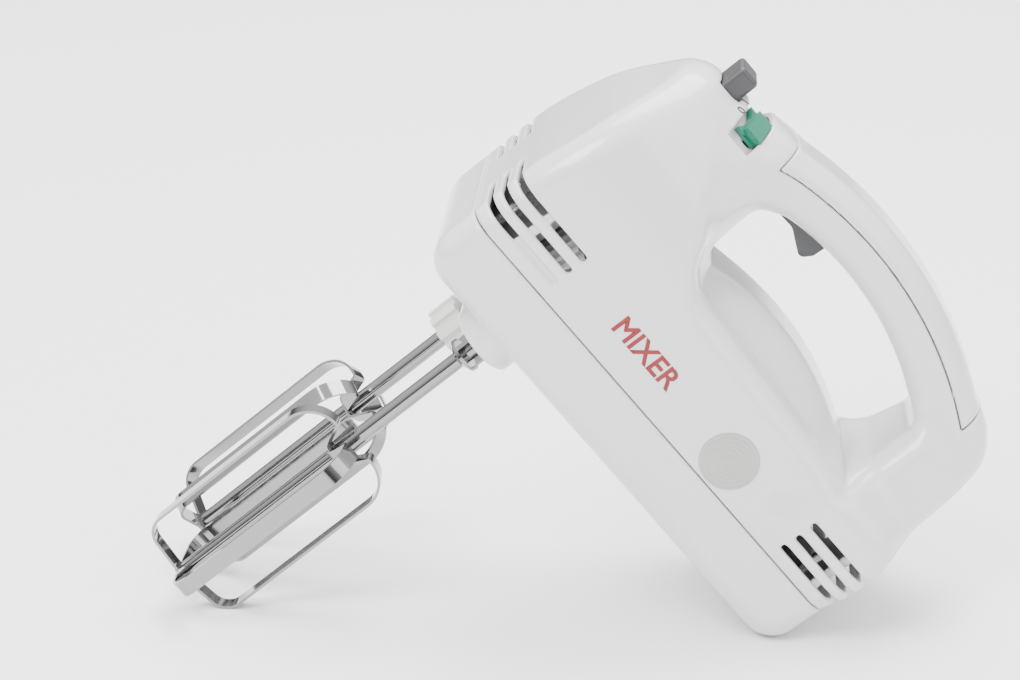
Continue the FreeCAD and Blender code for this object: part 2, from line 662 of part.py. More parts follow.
# ---------------------------------------------------------------- worm drive
def worm():
    """Worm with straight-sided threads, pressed on the nose of the motor shaft."""
    core = WORM_RADIUS - DEDENDUM
    tip = WORM_RADIUS + ADDENDUM
    pitch = LEAD / WORM_STARTS
    slope = math.tan(math.radians(PRESSURE_ANGLE))
    mid = pitch / 4 - TOOTH_PLAY / 4
    root_half = mid + slope * (WORM_RADIUS - core + 0.3)
    tip_half = mid - slope * ADDENDUM
    start = -WORM_LENGTH / 2
    body = cylinder(core, 0, WORM_LENGTH)
    path = Part.Wire(Part.makeHelix(LEAD, WORM_LENGTH + 2 * LEAD, WORM_RADIUS))
    points = [(core - 0.3, -root_half), (tip, -tip_half), (tip, tip_half), (core - 0.3, root_half)]
    outline = Part.makePolygon([Vector(r, 0, z) for r, z in points + points[:1]])
    ridge = path.makePipeShell([outline], True, True)
    ridge.translate(Vector(0, 0, -LEAD))
    ridge = ridge.common(cylinder(tip + 1, 0, WORM_LENGTH))
    for thread in range(WORM_STARTS):
        body = body.fuse(turned(ridge, thread * 360 / WORM_STARTS, (0, 0, 0), (0, 0, 1)))
    body = body.cut(cylinder(WORM_SEAT_RADIUS, -1, WORM_LENGTH + 1))
    return body, start


def drive_worm():
    """The worm in its place; a thread's crest meets each wheel's middle."""
    body, start = worm()
    placed = body.copy()
    placed.rotate(Vector(0, 0, 0), Vector(0, 1, 0), 90)
    placed.translate(Vector(start, 0, DRIVE_HEIGHT))
    return turned(placed, worm_phase(start), (0, 0, DRIVE_HEIGHT), (1, 0, 0))


def worm_phase(start):
    """Turn that brings a thread's crest to x = 0 on the side facing a wheel."""
    drawn_at = -90.0
    travelled = 360 * (0 - start) / LEAD
    return -drawn_at - travelled


def tooth_ring(height, twist):
    """Outline of the wheel's teeth at one height, turned by the helix."""
    root, tip = WHEEL_RADIUS - DEDENDUM, WHEEL_RADIUS + ADDENDUM
    pitch = 2 * math.pi / WHEEL_TEETH
    play = TOOTH_PLAY / (2 * WHEEL_RADIUS)
    mid = pitch / 4 - play / 2
    slope = math.tan(math.radians(PRESSURE_ANGLE))
    root_half = mid + slope * DEDENDUM / WHEEL_RADIUS
    tip_half = mid - slope * ADDENDUM / WHEEL_RADIUS
    points = []
    for i in range(WHEEL_TEETH):
        middle = (i + 0.5) * pitch + twist
        for radius, angle in ((root, -root_half), (tip, -tip_half), (tip, tip_half), (root, root_half)):
            turn = middle + angle
            points.append(Vector(radius * math.cos(turn), radius * math.sin(turn), height))
    return Part.makePolygon(points + points[:1])


def worm_wheel(side):
    """Helical wheel, hollow spindle and slotted cup in one nylon moulding."""
    half = WHEEL_FACE / 2
    lean = math.atan(LEAD / (2 * math.pi * WORM_RADIUS))
    twist = half * math.tan(lean) / WHEEL_RADIUS
    rings = [tooth_ring(share * half, share * twist) for share in (-1, -0.5, 0, 0.5, 1)]
    rim = Part.makeLoft(rings, True, True)
    rim.rotate(Vector(0, 0, 0), Vector(0, 0, 1), -90 * side)
    rim.translate(Vector(0, 0, DRIVE_HEIGHT))
    for face in (DRIVE_HEIGHT - half - 1, DRIVE_HEIGHT + half - 3):
        rim = rim.cut(tube(WHEEL_RADIUS - 4, HUB_RADIUS + 1.5, face, face + 4))
    wheel = join(rim, cylinder(HUB_RADIUS, CUP_TOP - 1, HUB_TOP), cylinder(CUP_RADIUS, CUP_BOTTOM, CUP_TOP))
    wheel = wheel.cut(cylinder(SHAFT_RADIUS + RUN, CUP_BOTTOM - 1, HUB_TOP + 1))
    reach = FIN_WIDTH / 2 + BLADE_PLAY
    for turn in (0, 90):
        slot = block(about(0, reach), about(0, FIN_THICKNESS / 2 + BLADE_PLAY),
                     (CUP_BOTTOM - 1, FIN_TOP + BLADE_PLAY))
        slot.rotate(Vector(0, 0, 0), Vector(0, 0, 1), turn + FIN_ANGLE)
        wheel = wheel.cut(slot)
    grooves = ((CLIP_Z, CLIP_RADIUS, CLIP_THICKNESS), (DETENT_Z, DETENT_RADIUS, DETENT_THICKNESS))
    for groove, depth, height in grooves:
        wheel = wheel.cut(tube(HUB_RADIUS + 1, depth, groove, groove + height))
    wheel.translate(Vector(0, side * HALF, 0))
    return wheel


def snap_ring(inner, outer, low, thickness, side):
    """Open ring sprung into a groove of the spindle."""
    at = (0, side * HALF)
    ring = Part.makeCylinder(outer, thickness, Vector(0, at[1], low))
    ring = ring.cut(cylinder(inner, low - 1, low + thickness + 1, at))
    return ring.cut(block((0, outer + 1), about(at[1], 1.5), (low - 1, low + thickness + 1)))


def gearbox_frame():
    """Cast frame round the wheels: it holds the spindle bushes, the worm's bearings and the motor."""
    outside = block(FRAME_X, about(0, FRAME_HALF), (FRAME_BASE, FRAME_TOP + FRAME_THICKNESS))
    hollow = block((FRAME_X[0] + FRAME_WALL, FRAME_X[1] - FRAME_WALL), (-60, 60),
                   (FRAME_BASE + FRAME_THICKNESS, FRAME_TOP))
    pillars = [cylinder(PILLAR_RADIUS, FRAME_X[1], STACK_FRONT, at, "x") for at in MOTOR_BOLTS]
    frame = join(outside.cut(hollow), *pillars)
    holes = [cylinder(HUB_RADIUS + RUN + BUSH_WALL, 0, 60, (0, side * HALF)) for side in SIDES.values()]
    holes.append(cylinder(FRONT_BEARING_RADIUS, FRAME_X[0] - 1, 0, (0, DRIVE_HEIGHT), "x"))
    holes.append(cylinder(MIDDLE_BEARING_RADIUS, 0, FRAME_X[1] + 1, (0, DRIVE_HEIGHT), "x"))
    holes += [cylinder(SCREW_RADIUS + FIT, 0, FRAME_BASE + 10, (x, 0)) for x in FRAME_SCREWS]
    holes += [cylinder(SCREW_RADIUS, FRAME_X[1] - FRAME_WALL - 1, STACK_FRONT + 1, at, "x")
              for at in MOTOR_BOLTS]
    return cut(frame, *holes)


def spindle_bushes():
    """Four sintered bushes, two to a spindle."""
    spans = ((CUP_TOP + 0.2, FRAME_BASE + FRAME_THICKNESS + 2), (FRAME_TOP - 1, FRAME_TOP + FRAME_THICKNESS))
    return Part.makeCompound([
        tube(HUB_RADIUS + RUN + BUSH_WALL, HUB_RADIUS + RUN, low, high, (0, side * HALF))
        for low, high in spans for side in SIDES.values()
    ])


def shaft_bearing(outer, inner, front, rear):
    return tube(outer, inner + RUN, front, rear, (0, DRIVE_HEIGHT), "x")


def thrust_plate():
    """Steel plate that the worm pushes against."""
    return block((FRAME_X[0] - 1.5, FRAME_X[0]), about(0, 11), about(DRIVE_HEIGHT, 9))


# ---------------------------------------------------------------- motor
def motor_shaft():
    at = (0, DRIVE_HEIGHT)
    return join(
        cylinder(WORM_SEAT_RADIUS, FRAME_X[0] + 0.1, WORM_LENGTH / 2, at, "x"),
        cylinder(MOTOR_SHAFT_RADIUS, WORM_LENGTH / 2, FAN_FRONT + FAN_WIDTH + 1, at, "x"),
    )


def stator_core():
    """Laminated field: a rounded stack with the rotor bore and two pockets for the coils."""
    rear = STACK_FRONT + STACK_LENGTH
    half_width, half_height = STACK_WIDTH / 2, STACK_HEIGHT / 2
    corners = [(-half_width, -half_height, 10), (half_width, -half_height, 10),
               (half_width, half_height, 10), (-half_width, half_height, 10)]
    face = Part.Face(rounded_wire(corners, lambda p: Vector(STACK_FRONT, p.x, p.y + DRIVE_HEIGHT)))
    stack = face.extrude(Vector(STACK_LENGTH, 0, 0))
    stack = stack.cut(cylinder(BORE_RADIUS, STACK_FRONT - 1, rear + 1, (0, DRIVE_HEIGHT), "x"))
    for side in SIDES.values():
        pair = sorted((side * (BORE_RADIUS - 1.5), side * COIL_REACH))
        stack = stack.cut(block((STACK_FRONT - 1, rear + 1), pair, about(DRIVE_HEIGHT, COIL_DEPTH)))
    holes = [cylinder(SCREW_RADIUS + FIT, STACK_FRONT - 1, rear + 1, at, "x") for at in MOTOR_BOLTS]
    return cut(stack, *holes)


def field_coil(side):
    """One field winding: two bars in the pockets and an arch over each end of the rotor."""
    rear = STACK_FRONT + STACK_LENGTH
    inner, outer = BORE_RADIUS + 0.8, COIL_REACH - SEAT * 4
    low, high = sorted((side * 0.4, side * (COIL_DEPTH - SEAT * 4)))
    bars = [block((STACK_FRONT - COIL_END, rear + COIL_END), sorted((s * inner, s * outer)),
                  (DRIVE_HEIGHT + low, DRIVE_HEIGHT + high)) for s in (-1, 1)]
    keep = sorted((side * 0.4, side * 40))
    arches = []
    for front, back in ((STACK_FRONT - COIL_END, STACK_FRONT - 0.2), (rear + 0.2, rear + COIL_END)):
        arch_ring = tube(outer, inner, front, back, (0, DRIVE_HEIGHT), "x")
        arches.append(arch_ring.common(block((0, 200), (-60, 60), [DRIVE_HEIGHT + k for k in keep])))
    return join(*bars, *arches)


def armature():
    """Slotted rotor stack and the copper wound through it."""
    at = (0, DRIVE_HEIGHT)
    rear = STACK_FRONT + STACK_LENGTH
    core = cylinder(ROTOR_RADIUS, STACK_FRONT, rear, at, "x")
    bars = []
    slot = block((STACK_FRONT - 1, rear + 1), about(0, 1.1), (DRIVE_HEIGHT + 7, DRIVE_HEIGHT + 12.6))
    mouth = block((STACK_FRONT - 1, rear + 1), about(0, 0.5), (DRIVE_HEIGHT + 12, DRIVE_HEIGHT + 16))
    bar = block((STACK_FRONT - 1, rear + 1), about(0, 0.95), (DRIVE_HEIGHT + 7.2, DRIVE_HEIGHT + 12.4))
    for i in range(ROTOR_SLOTS):
        turn = 360 * i / ROTOR_SLOTS
        centre, axis = (0, 0, DRIVE_HEIGHT), (1, 0, 0)
        core = core.cut(turned(slot, turn, centre, axis)).cut(turned(mouth, turn, centre, axis))
        bars.append(turned(bar, turn, centre, axis))
    core = core.cut(cylinder(MOTOR_SHAFT_RADIUS, 0, 200, at, "x"))
    ends = [tube(12.6, 4.5, STACK_FRONT - 6, STACK_FRONT - 0.2, at, "x"),
            tube(12.6, 4.5, rear + 0.2, rear + 6, at, "x")]
    return core, join(*ends, *bars)


def commutator():
    at = (0, DRIVE_HEIGHT)
    rear = COMMUTATOR_FRONT + COMMUTATOR_LENGTH
    drum = tube(COMMUTATOR_RADIUS, MOTOR_SHAFT_RADIUS, COMMUTATOR_FRONT, rear, at, "x")
    riser = tube(COMMUTATOR_RADIUS + 1.5, MOTOR_SHAFT_RADIUS, COMMUTATOR_FRONT, COMMUTATOR_FRONT + 2, at, "x")
    drum = join(drum, riser)
    gap = block((COMMUTATOR_FRONT - 1, rear + 1), about(0, 0.2), (DRIVE_HEIGHT + 7.6, DRIVE_HEIGHT + 12))
    gaps = [turned(gap, 360 * i / COMMUTATOR_BARS, (0, 0, DRIVE_HEIGHT), (1, 0, 0))
            for i in range(COMMUTATOR_BARS)]
    return cut(drum, *gaps)


def cooling_fan():
    """Radial fan on the tail of the motor shaft."""
    at = (0, DRIVE_HEIGHT)
    hub = cylinder(7, FAN_FRONT, FAN_FRONT + FAN_WIDTH, at, "x")
    disc = cylinder(FAN_RADIUS, FAN_FRONT, FAN_FRONT + 1.5, at, "x")
    blade = block((FAN_FRONT, FAN_FRONT + FAN_WIDTH), about(0, 0.7),
                  (DRIVE_HEIGHT + 5, DRIVE_HEIGHT + FAN_RADIUS - 0.5))
    blade = turned(blade, 20, (0, 0, DRIVE_HEIGHT + 5), (1, 0, 0))
    blade = blade.common(cylinder(FAN_RADIUS, 0, 200, at, "x"))
    blades = [turned(blade, 360 * i / FAN_BLADES, (0, 0, DRIVE_HEIGHT), (1, 0, 0)) for i in range(FAN_BLADES)]
    return join(hub, disc, *blades).cut(cylinder(MOTOR_SHAFT_RADIUS, 0, 200, at, "x"))


def rear_bracket():
    """Strap behind the commutator with two cheeks that hold the brushes."""
    rear = STACK_FRONT + STACK_LENGTH
    strap = block((REAR_BRACKET, REAR_BRACKET + BRACKET_THICKNESS),
                  about(0, CHEEK_Y[1]), about(DRIVE_HEIGHT, 9))
    cheek = block((rear, REAR_BRACKET + BRACKET_THICKNESS), CHEEK_Y, about(DRIVE_HEIGHT, 20))
    bracket = join(strap, cheek, mirror(cheek))
    holder = brush_holder_box(SEAT)
    seat = cylinder(REAR_BEARING_RADIUS, REAR_BRACKET - 1, 120, (0, DRIVE_HEIGHT), "x")
    holes = [holder, mirror(holder), seat]
    holes += [cylinder(SCREW_RADIUS + FIT, rear - 1, 120, at, "x") for at in MOTOR_BOLTS]
    return cut(bracket, *holes)


def brush_holder_box(grow):
    middle = COMMUTATOR_FRONT + BRUSH_BACK
    return block(about(middle, BRUSH[0] / 2 + 1.2 + grow), (COMMUTATOR_RADIUS + 2.2, CHEEK_Y[1] + 1.5 + grow),
                 about(DRIVE_HEIGHT, BRUSH[1] / 2 + 1.2 + grow))


def brush(grow):
    middle = COMMUTATOR_FRONT + BRUSH_BACK
    solid = block(about(middle, BRUSH[0] / 2 + grow), (COMMUTATOR_RADIUS - 1, COMMUTATOR_RADIUS + BRUSH[2] + 40 * grow),
                  about(DRIVE_HEIGHT, BRUSH[1] / 2 + grow))
    return solid.cut(cylinder(COMMUTATOR_RADIUS + RUN, 0, 200, (0, DRIVE_HEIGHT), "x"))


def brush_holder():
    tunnel = block(about(COMMUTATOR_FRONT + BRUSH_BACK, BRUSH[0] / 2 + SEAT), (0, CHEEK_Y[1]),
                   about(DRIVE_HEIGHT, BRUSH[1] / 2 + SEAT))
    return brush_holder_box(0).cut(tunnel)


def brush_spring():
    """Small spring that presses a brush on the commutator."""
    low, high = COMMUTATOR_RADIUS + BRUSH[2] + 0.1, CHEEK_Y[1] - 0.1
    spring = coil(1.5, 0.5, low, high, 5, (0, 0))
    spring.rotate(Vector(0, 0, 0), Vector(1, 0, 0), -90)
    spring.translate(Vector(COMMUTATOR_FRONT + BRUSH_BACK, 0, DRIVE_HEIGHT))
    return spring


def motor_bolt(at):
    rear = REAR_BRACKET + BRACKET_THICKNESS
    shank = cylinder(SCREW_RADIUS, FRAME_X[1] - FRAME_WALL, rear, at, "x")
    return join(shank, cylinder(3.2, rear, rear + 2.2, at, "x"))


# ---------------------------------------------------------------- controls
def button_prism(grow, low, high):
    x = about(BUTTON_X, BUTTON_LENGTH / 2 + grow)
    return rounded_box(x, about(0, BUTTON_WIDTH / 2 + grow), (low, high), 1.8)


def eject_button():
    """Moulded cap on the ejector's stem, domed towards the back."""
    button = button_prism(0, BUTTON_SKIRT, BUTTON_TOP)
    flange = rounded_box(about(BUTTON_X, FLANGE_LENGTH / 2), about(0, BUTTON_WIDTH / 2), BUTTON_FLANGE, 1.8)
    crown = [edge for edge in button.Edges if edge.BoundBox.ZMin > BUTTON_TOP - 1e-3]
    button = join(button.makeFillet(1.5, crown), flange)
    pocket = block(about(STEM_X, STEM[0] / 2 + SEAT), about(0, STEM[1] / 2 + SEAT),
                   (0, BUTTON_TOP - 4 + SEAT))
    return button.cut(pocket)


def ejector_bar():
    """Bar over both spindles with a stem up to the button; the push pins hang in it by their heads."""
    low, high = EJECTOR_BOTTOM, EJECTOR_BOTTOM + EJECTOR_HEIGHT
    bar = join(
        block((-6, 6), (-HALF, HALF), (low, high)),
        *[cylinder(PIN_HEAD_RADIUS + 2.5, low, high, (0, side * HALF)) for side in SIDES.values()],
        block((STEM_X - STEM[0] / 2, -4), about(0, STEM[1] / 2), (low, high)),
        block(about(STEM_X, STEM[0] / 2), about(0, STEM[1] / 2), (low, BUTTON_TOP - 4)),
    )
    for side in SIDES.values():
        at = (0, side * HALF)
        bar = bar.cut(cylinder(SHAFT_RADIUS + 0.3, low - 1, high - 2, at))
        bar = bar.cut(cylinder(PIN_HEAD_RADIUS + 0.3, low + 2, high - 2, at))
    return bar


def push_pin(side):
    """Pin in the hollow spindle, between the ejector and the beater's end."""
    at = (0, side * HALF)
    top = EJECTOR_BOTTOM + EJECTOR_HEIGHT - 2 - 0.1
    head = cylinder(PIN_HEAD_RADIUS, EJECTOR_BOTTOM + 2.1, top, at)
    return join(cylinder(PIN_RADIUS, SHAFT_TOP + 0.1, top, at), head)


def speed_selector():
    """Curved plate on the deck with a scooped front edge, a thumb block and a web down to its pivot."""
    start, end = (SELECTOR_REST + angle for angle in PLATE_ANGLES)
    inner = NECK_RADIUS + SLIDE
    skin = sector(inner, inner + SELECTOR_SKIN, SELECTOR_FRONT, SELECTOR_REAR, start, end)
    ridge = sector(inner, inner + 2.8, SELECTOR_FRONT, SELECTOR_FRONT + 4, start, end)
    middle = NECK_AXIS + NECK_RADIUS + 6
    scoop_axis = (SELECTOR_FRONT - SCOOP_RADIUS + SCOOP_DEPTH, 0)
    scoop = cylinder(SCOOP_RADIUS, middle - 12, middle + 12, scoop_axis)
    scoop = turned(scoop, -(start + end) / 2, (0, 0, NECK_AXIS), (1, 0, 0))
    grip = sector(inner, NECK_RADIUS + GRIP_RISE, SELECTOR_FRONT + 2.5, SELECTOR_REAR,
                  *(SELECTOR_REST + angle for angle in GRIP_ANGLES))
    plate = join(skin, ridge, grip).cut(scoop)
    web = sector(PIVOT_RADIUS, NECK_RADIUS + SLIDE + 0.5, WEB_X[0], WEB_X[1],
                 SELECTOR_REST - WEB_HALF_ANGLE, SELECTOR_REST + WEB_HALF_ANGLE)
    hub = cylinder(PIVOT_RADIUS + 2, WEB_X[0] - 1.5, WEB_X[1] + 1.5, (0, NECK_AXIS), "x")
    return join(plate, web, hub).cut(cylinder(PIVOT_RADIUS + RUN, -20, 30, (0, NECK_AXIS), "x"))


def speed_switch():
    """Rotary switch body hung under the lugs."""
    return rounded_box((LUG_X[0][0], LUG_X[1][1]), about(0, 12), (EJECTOR_BOTTOM + EJECTOR_HEIGHT + 0.6,
                       NECK_AXIS - 5.5), 1.5)


def trigger():
    """Pulse trigger under the front of the handle."""
    x, z = TRIGGER_PIVOT
    profile = side_face([(30.4, 104.6, 1), (30.4, 97.9, 1), (38.5, 98.4, 5), (44.0, 95.6, 4),
                         (48.6, 93.4, 2.2), (51.2, 97.6, 1), (51.6, 104.6, 1)])
    lever = join(across(profile, TRIGGER_WIDTH),
                 cylinder(3.0, -TRIGGER_WIDTH / 2, TRIGGER_WIDTH / 2, (x, z), "y"),
                 block((x - 2.6, x + 2.6), about(0, TRIGGER_WIDTH / 2), (103, z)))
    return lever.cut(cylinder(PIVOT_RADIUS + RUN, -30, 30, (x, z), "y"))


def pulse_switch():
    """Microswitch over the trigger's tip."""
    return join(block((42, 53), about(0, PULSE_HALF), (110.5, 117.5)), cylinder(1.2, 107.3, 111, (47, 0)))


def control_board():
    board = block(BOARD_X, about(0, BOARD_HALF), (BOARD_HEIGHT, BOARD_HEIGHT + 1.6))
    chips = [block((x, x + 4), (y, y + 6), (BOARD_HEIGHT + 1.6, BOARD_HEIGHT + 4))
             for x in (121, 128, 135) for y in (2, 12)]
    return join(board, *chips)


# ---------------------------------------------------------------- assembly
def rest_tilt():
    """Angle that lays the toe of a beater's loop and the heel's lower edge on one floor."""
    toe = (LOOP_RADIUS - LOOP_TOE, LOOP_BOTTOM + LOOP_TOE, LOOP_TOE)
    heel = (TAIL_REACH - UNDERSIDE_ROUND, UNDERSIDE_ROUND, UNDERSIDE_ROUND)
    rise, run = heel[1] - toe[1], heel[0] - toe[0]
    return math.acos((heel[2] - toe[2]) / math.hypot(rise, run)) - math.atan2(run, rise)


def pieces():
    """Every piece by name, in the mixer's own axes."""
    outer, inner = outer_form(0), outer_form(WALL)
    made = {
        "base_cover": base_cover(),
        "upper_housing": upper_housing(outer, inner),
        "handle_cap": handle_cap(outer, inner),
        "cord_inlet": cord_inlet(),
        "side_label": side_label(),
        "housing_screws": Part.makeCompound([housing_screw(x, side * y) for x, y in HOUSING_SCREWS
                                             for side in SIDES.values()]),
        "gearbox_frame": gearbox_frame(),
        "frame_screws": Part.makeCompound([frame_screw(x) for x in FRAME_SCREWS]),
        "spindle_bushes": spindle_bushes(),
        "thrust_plate": thrust_plate(),
        "front_bearing": shaft_bearing(FRONT_BEARING_RADIUS, WORM_SEAT_RADIUS,
                                       FRAME_X[0], FRAME_X[0] + FRAME_WALL),
        "middle_bearing": shaft_bearing(MIDDLE_BEARING_RADIUS, MOTOR_SHAFT_RADIUS,
                                        FRAME_X[1] - FRAME_WALL, FRAME_X[1]),
        "rear_bearing": shaft_bearing(REAR_BEARING_RADIUS, MOTOR_SHAFT_RADIUS,
                                      REAR_BRACKET, REAR_BRACKET + BRACKET_THICKNESS),
        "rear_bracket": rear_bracket(),
        "stator_core": stator_core(),
        "field_coils": Part.makeCompound([field_coil(1), field_coil(-1)]),
        "brush_holders": both(brush_holder()),
        "carbon_brushes": both(brush(0)),
        "brush_springs": both(brush_spring()),
        "motor_bolts": Part.makeCompound([motor_bolt(at) for at in MOTOR_BOLTS]),
        "motor_shaft": motor_shaft(),
        "worm": drive_worm(),
        "commutator": commutator(),
        "cooling_fan": cooling_fan(),
        "ejector_bar": ejector_bar(),
        "eject_button": eject_button(),
        "eject_spring": coil(5.6, SPRING_WIRE, SHELF[1], BUTTON_SKIRT, 7, (STEM_X, 0)),
        "speed_selector": speed_selector(),
        "selector_pin": cylinder(PIVOT_RADIUS, LUG_X[0][0], LUG_X[1][1], (0, NECK_AXIS), "x"),
        "speed_switch": speed_switch(),
        "trigger": trigger(),
        "trigger_pin": cylinder(PIVOT_RADIUS, *about(0, HANDLE_WIDTH / 2 - WALL), TRIGGER_PIVOT, "y"),
        "trigger_spring": coil(1.6, 0.5, 104.7, 110.9, 5, (38, 0)),
        "pulse_switch": pulse_switch(),
        "control_board": control_board(),
        "suppression_capacitor": rounded_box((121, 139), (-20, -8),
                                             (BOARD_HEIGHT + 1.6, BOARD_HEIGHT + 10), 1),
        "bowl_gear": bowl_gear(),
    }
    made["armature_core"], made["armature_winding"] = armature()
    for name, side in SIDES.items():
        made[f"worm_wheel_{name}"] = worm_wheel(side)
        made[f"retaining_clip_{name}"] = snap_ring(CLIP_RADIUS, HUB_RADIUS + 2, CLIP_Z, CLIP_THICKNESS, side)
        made[f"detent_ring_{name}"] = snap_ring(DETENT_RADIUS, HUB_RADIUS + 0.6,
                                                DETENT_Z, DETENT_THICKNESS, side)
        made[f"push_pin_{name}"] = push_pin(side)
        made.update(beater(name, side, LOOP_ANGLES[name]))
    return made


def resting_place(shapes):
    """Tilt on to the floor, with the origin under the middle of the whole object's box."""
    tilt = Rotation(Vector(0, 1, 0), math.degrees(rest_tilt()))
    whole = Part.makeCompound(shapes)
    whole.Placement = Placement(Vector(0, 0, 0), tilt)
    box = whole.optimalBoundingBox(True, False)
    shift = Vector(-(box.XMin + box.XMax) / 2, -(box.YMin + box.YMax) / 2, -box.ZMin)
    return Placement(shift, tilt)


def main():
    os.makedirs("parts", exist_ok=True)
    made = pieces()
    place = resting_place(list(made.values()))
    for name, shape in made.items():
        laid = shape.copy()
        laid.Placement = place.multiply(laid.Placement)
        laid.exportStep(f"parts/{name}.step")


if __name__ == "__main__":
    main()
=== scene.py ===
import json
import math

import bpy
import numpy as np
from mathutils import Matrix, Vector


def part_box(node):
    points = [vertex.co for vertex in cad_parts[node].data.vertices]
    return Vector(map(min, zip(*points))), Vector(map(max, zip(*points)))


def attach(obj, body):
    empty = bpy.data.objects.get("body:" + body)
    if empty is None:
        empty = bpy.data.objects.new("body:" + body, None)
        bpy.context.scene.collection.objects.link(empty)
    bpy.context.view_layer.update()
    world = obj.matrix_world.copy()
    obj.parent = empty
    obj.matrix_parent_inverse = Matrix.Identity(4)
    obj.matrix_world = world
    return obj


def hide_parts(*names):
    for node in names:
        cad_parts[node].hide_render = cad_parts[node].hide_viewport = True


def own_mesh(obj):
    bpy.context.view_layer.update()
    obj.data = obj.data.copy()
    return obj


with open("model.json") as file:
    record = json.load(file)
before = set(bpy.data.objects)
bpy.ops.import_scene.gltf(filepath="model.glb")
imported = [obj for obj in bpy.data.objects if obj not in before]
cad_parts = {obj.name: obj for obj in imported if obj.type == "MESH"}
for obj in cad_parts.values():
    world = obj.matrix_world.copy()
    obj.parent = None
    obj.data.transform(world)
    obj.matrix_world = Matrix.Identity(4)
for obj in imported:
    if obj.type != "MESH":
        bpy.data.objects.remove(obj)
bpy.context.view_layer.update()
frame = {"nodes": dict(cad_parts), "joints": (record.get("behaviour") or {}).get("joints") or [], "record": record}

# The casing's three mouldings are remade here as smooth meshes, from distance fields on a grid
# that follow the CAD. The rest is the frame's own meshes with better materials, and some print.

# ---------------------------------------------------------------- the mixer's own axes
# x from the beater axles to the tail, y across, z up from the underside, in millimetres
DRIVE_HEIGHT = 38.0
JOINTS = {joint["name"]: joint for joint in frame["joints"]}
ALONG = Vector(JOINTS["motor_spin"]["axis"])
UP = Vector(JOINTS["wheel_left_spin"]["axis"])
ACROSS = UP.cross(ALONG)
ORIGIN = Vector(JOINTS["motor_spin"]["pos_m"]) - UP * DRIVE_HEIGHT / 1000
AXES = np.array([ALONG, ACROSS, UP]) / 1000


def to_row(points):
    """Points in the mixer's axes, in mm, to the row frame in metres."""
    return np.asarray(points) @ AXES + np.array(ORIGIN)


def add_mesh(name, points, faces, normals):
    """A smooth mesh with the given normals, from points in the mixer's axes."""
    mesh = bpy.data.meshes.new(name)
    mesh.vertices.add(len(points))
    mesh.vertices.foreach_set("co", to_row(points).astype(np.float32).ravel())
    faces = np.asarray(faces, dtype=np.int32)
    mesh.loops.add(faces.size)
    mesh.loops.foreach_set("vertex_index", faces.ravel())
    mesh.polygons.add(len(faces))
    mesh.polygons.foreach_set("loop_start", np.arange(0, faces.size, faces.shape[1], dtype=np.int32))
    mesh.update(calc_edges=True)
    mesh.polygons.foreach_set("use_smooth", np.ones(len(faces), dtype=bool))
    turned = normals @ (AXES * 1000)
    mesh.normals_split_custom_set_from_vertices(turned.tolist())
    obj = bpy.data.objects.new(name, mesh)
    bpy.context.scene.collection.objects.link(obj)
    return obj


# ---------------------------------------------------------------- distance fields
CHORD_ANGLE = 6
ARC_POINTS = 40


def rounded(corners):
    """A closed outline through (a, b, radius) corners, each with its arc as short chords."""
    points = []
    count = len(corners)
    for i, (a, b, radius) in enumerate(corners):
        here = np.array([a, b], float)
        if radius == 0:
            points.append(here)
            continue
        last, following = (np.array(corners[k][:2], float) for k in (i - 1, (i + 1) % count))
        one = (last - here) / np.linalg.norm(last - here)
        two = (following - here) / np.linalg.norm(following - here)
        half = math.acos(float(np.clip(one @ two, -1, 1))) / 2
        centre = here + (one + two) / np.linalg.norm(one + two) * radius / math.sin(half)
        start, end = here + one * radius / math.tan(half), here + two * radius / math.tan(half)
        sweep = math.pi - 2 * half
        pieces = max(2, int(math.degrees(sweep) / CHORD_ANGLE))
        first = math.atan2(*(start - centre)[::-1])
        turn = math.atan2(*(end - centre)[::-1]) - first
        turn = (turn + math.pi) % (2 * math.pi) - math.pi
        for k in range(pieces + 1):
            angle = first + turn * k / pieces
            points.append(centre + radius * np.array([math.cos(angle), math.sin(angle)]))
    return np.array(points)


def outline_field(points, a, b):
    """Signed distance from the grid of a by b to a closed outline, negative inside."""
    grid_a, grid_b = np.meshgrid(a, b, indexing="ij")
    nearest = np.full(grid_a.shape, 1e9)
    inside = np.zeros(grid_a.shape, dtype=bool)
    for (a0, b0), (a1, b1) in zip(points, np.roll(points, -1, axis=0)):
        da, db = a1 - a0, b1 - b0
        length = da * da + db * db
        if length < 1e-12:
            continue
        share = np.clip(((grid_a - a0) * da + (grid_b - b0) * db) / length, 0, 1)
        nearest = np.minimum(nearest, (grid_a - a0 - share * da) ** 2 + (grid_b - b0 - share * db) ** 2)
        crosses = (b0 > grid_b) != (b1 > grid_b)
        if db:
            inside ^= crosses & (grid_a < a0 + (grid_b - b0) * da / db)
    return np.where(inside, -1, 1) * np.sqrt(nearest)


def both_of(a, b, radius):
    """Where two forms overlap, with the edge between them rounded."""
    corner = np.hypot(np.maximum(radius + a, 0), np.maximum(radius + b, 0))
    return np.minimum(-radius, np.maximum(a, b)) + corner


def either_of(a, b, radius):
    """Two forms joined by a fillet."""
    corner = np.hypot(np.maximum(radius - a, 0), np.maximum(radius - b, 0))
    return np.maximum(radius, np.minimum(a, b)) - corner


